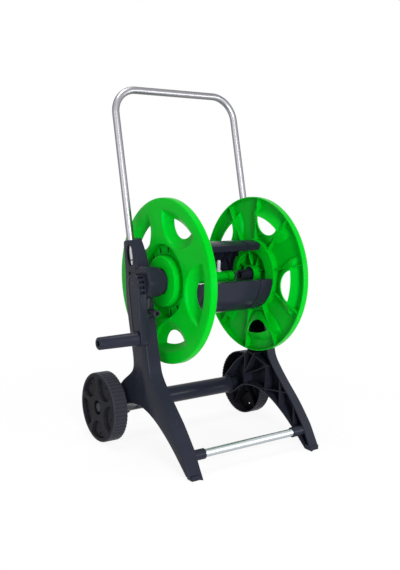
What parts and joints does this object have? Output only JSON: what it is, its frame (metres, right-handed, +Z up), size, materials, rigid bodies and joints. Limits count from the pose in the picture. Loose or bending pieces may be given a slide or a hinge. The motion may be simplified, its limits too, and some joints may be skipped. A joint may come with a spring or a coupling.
{
  "type": "hose reel cart",
  "caption": "Upright hose reel cart: two splayed side frames, a crank-turned reel with dished flanges, a bent tube handle, a foot rod and rear wheels.",
  "frame": {"origin": "on the ground at the middle of the whole cart's footprint, crank included", "axes": "+X from the crank side across the cart, +Y from the feet back to the wheels, +Z up"},
  "size_m": [0.5506, 0.4154, 0.8473],
  "materials": {
    "green_plastic": "bright green moulded plastic",
    "black_plastic": "charcoal black satin moulded plastic",
    "wheel_plastic": "black moulded plastic wheel",
    "chrome_steel": "bright chromed steel tube",
    "zinc_steel": "zinc plated steel",
    "dark_steel": "dark steel screws",
    "grey_plastic": "light grey hose connector",
    "dark_plastic": "dark grey water inlet",
    "rubber": "black sealing rubber"
  },
  "bodies": {
    "cart": {"left_side_frame": "black_plastic", "right_side_frame": "black_plastic", "handle_tube": "chrome_steel", "left_handle_screw": "dark_steel", "right_handle_screw": "dark_steel", "front_rod": "zinc_steel", "left_rod_screw": "dark_steel", "right_rod_screw": "dark_steel", "crossbar": "black_plastic", "wheel_axle": "zinc_steel", "left_wheel_cap": "black_plastic", "right_wheel_cap": "black_plastic", "water_inlet": "dark_plastic"},
    "reel": {"left_flange": "green_plastic", "right_flange": "green_plastic", "drum_shell_1": "black_plastic", "drum_shell_2": "black_plastic", "water_spindle": "green_plastic", "spindle_plug": "black_plastic", "outer_seal": "rubber", "inner_seal": "rubber", "left_hub_bush": "black_plastic", "right_hub_bush": "black_plastic", "hose_outlet": "grey_plastic", "crank_arm": "black_plastic", "crank_screw": "dark_steel", "grip_pin": "zinc_steel"},
    "grip": {"crank_grip": "black_plastic"},
    "wheel_left": {"left_wheel": "wheel_plastic"},
    "wheel_right": {"right_wheel": "wheel_plastic"}
  },
  "joints": [
    {"name": "reel_spin", "type": "hinge", "parent": "cart", "child": "reel", "pos_m": [0.0383, -0.0044, 0.4012], "axis": [1, 0, 0], "continuous": true},
    {"name": "grip_spin", "type": "hinge", "parent": "reel", "child": "grip", "pos_m": [-0.1788, -0.02495, 0.27973], "axis": [1, 0, 0], "continuous": true},
    {"name": "wheel_left_spin", "type": "hinge", "parent": "cart", "child": "wheel_left", "pos_m": [-0.1807, 0.1236, 0.0842], "axis": [1, 0, 0], "continuous": true},
    {"name": "wheel_right_spin", "type": "hinge", "parent": "cart", "child": "wheel_right", "pos_m": [0.2573, 0.1236, 0.0842], "axis": [1, 0, 0], "continuous": true}
  ]
}
